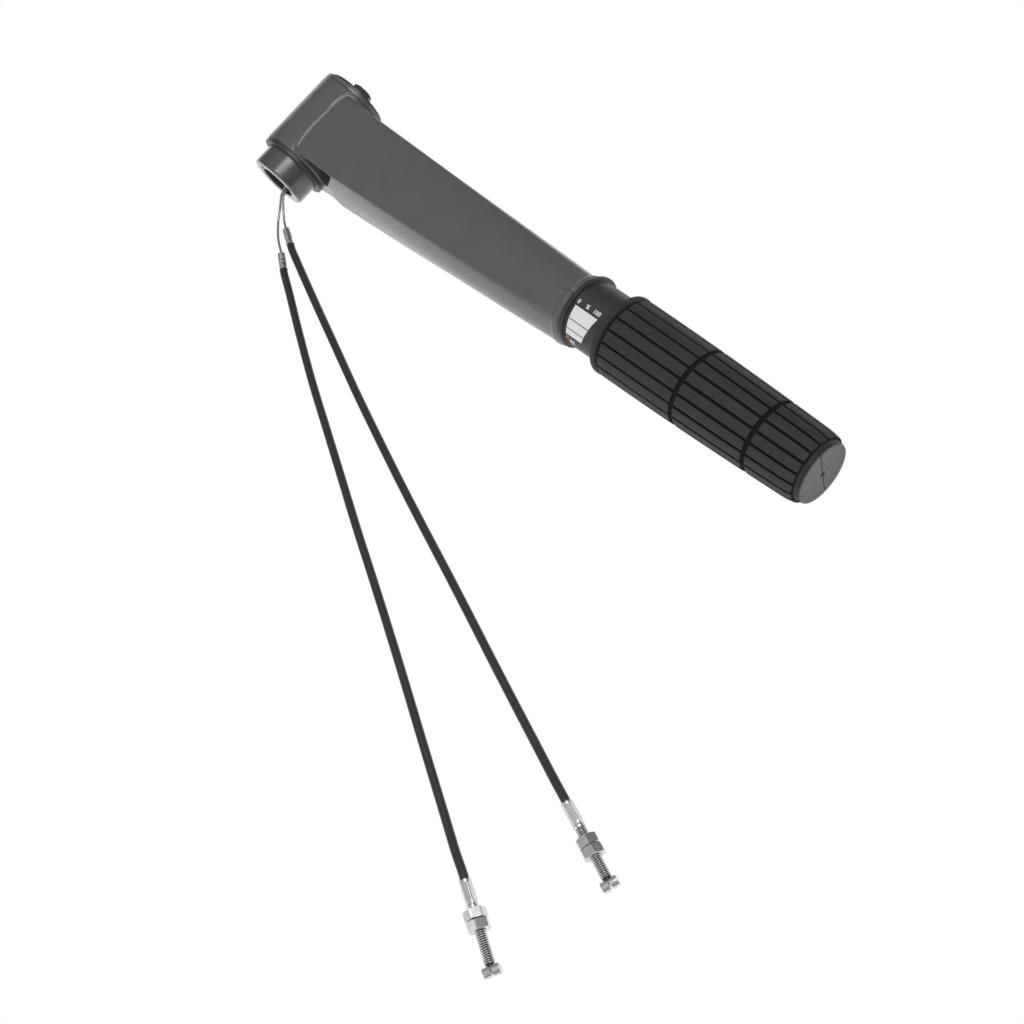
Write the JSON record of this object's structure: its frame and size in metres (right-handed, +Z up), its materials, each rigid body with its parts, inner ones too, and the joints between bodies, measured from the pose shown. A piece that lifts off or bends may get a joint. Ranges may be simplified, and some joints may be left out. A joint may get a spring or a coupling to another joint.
{
  "type": "tiller throttle handle",
  "caption": "Tilting tiller handle for a small boat motor, with a twist throttle grip, dial and two control cables.",
  "frame": {"origin": "on the surface that the handle lies on, under the middle of the handle without its cables", "axes": "+X from the tilt pivot towards the free end of the grip, +Y along the pivot away from the cables, +Z up"},
  "size_m": [0.4948, 0.34, 0.0494],
  "materials": {
    "grey_paint": "satin metallic dark grey",
    "pivot_paint": "satin dark grey",
    "nylon": "moulded",
    "bronze": "machined",
    "steel": "machined",
    "black_plastic": "satin moulded",
    "rubber": "matte moulded",
    "zinc_plate": "bright zinc plate",
    "conduit": "satin extruded"
  },
  "bodies": {
    "handle": {"handle_arm": "grey_paint", "near_pivot_bush": "nylon", "far_pivot_bush": "nylon", "rear_shaft_bush": "nylon", "front_shaft_bush": "nylon", "thrust_washer": "bronze", "closing_wire": "zinc_plate", "closing_ferrule": "zinc_plate", "closing_conduit": "conduit", "closing_adjuster": "zinc_plate", "opening_wire": "zinc_plate", "opening_ferrule": "zinc_plate", "opening_conduit": "conduit", "opening_adjuster": "zinc_plate", "opening_inner_nut": "zinc_plate"},
    "throttle": {"throttle_shaft": "steel", "cable_drum": "zinc_plate", "drum_pin": "steel", "shaft_clip": "steel", "dial_collar": "black_plastic", "grip_screw": "steel", "rubber_grip": "rubber"},
    "pivot": {"pivot_tube": "pivot_paint", "pivot_washer": "steel", "pivot_bolt": "steel"},
    "closing_end": {"closing_nipple": "zinc_plate", "closing_wire_end": "zinc_plate"},
    "opening_end": {"opening_nipple": "zinc_plate", "opening_wire_end": "zinc_plate"},
    "closing_inner_locknut": {"closing_inner_nut": "zinc_plate"},
    "closing_outer_locknut": {"closing_outer_nut": "zinc_plate"},
    "opening_outer_locknut": {"opening_outer_nut": "zinc_plate"}
  },
  "joints": [
    {"name": "throttle_turn", "type": "hinge", "parent": "handle", "child": "throttle", "pos_m": [-0.19515, 0.00445, 0.0247], "axis": [-1, 0, 0], "range_deg": [0, 75]},
    {"name": "handle_tilt", "type": "hinge", "parent": "handle", "child": "pivot", "pos_m": [-0.19515, 0.00445, 0.0237], "axis": [0, 1, 0], "range_deg": [0, 90]},
    {"name": "closing_wire_travel", "type": "slide", "parent": "handle", "child": "closing_end", "axis": [0.9492, -0.3147, 0], "range_m": [0, 0.0105]},
    {"name": "opening_wire_travel", "type": "slide", "parent": "handle", "child": "opening_end", "axis": [0.8888, -0.4583, 0], "range_m": [0, 0.0105]},
    {"name": "closing_inner_nut_travel", "type": "slide", "parent": "handle", "child": "closing_inner_locknut", "axis": [-0.9492, 0.3147, 0], "range_m": [0, 0.005]},
    {"name": "closing_outer_nut_travel", "type": "slide", "parent": "handle", "child": "closing_outer_locknut", "axis": [0.9492, -0.3147, 0], "range_m": [0, 0.012]},
    {"name": "opening_outer_nut_travel", "type": "slide", "parent": "handle", "child": "opening_outer_locknut", "axis": [0.8888, -0.4583, 0], "range_m": [0, 0.017]}
  ],
  "couplings": [
    {"joint": "closing_wire_travel", "follows": "throttle_turn", "m_per_rad": 0.008}
  ]
}
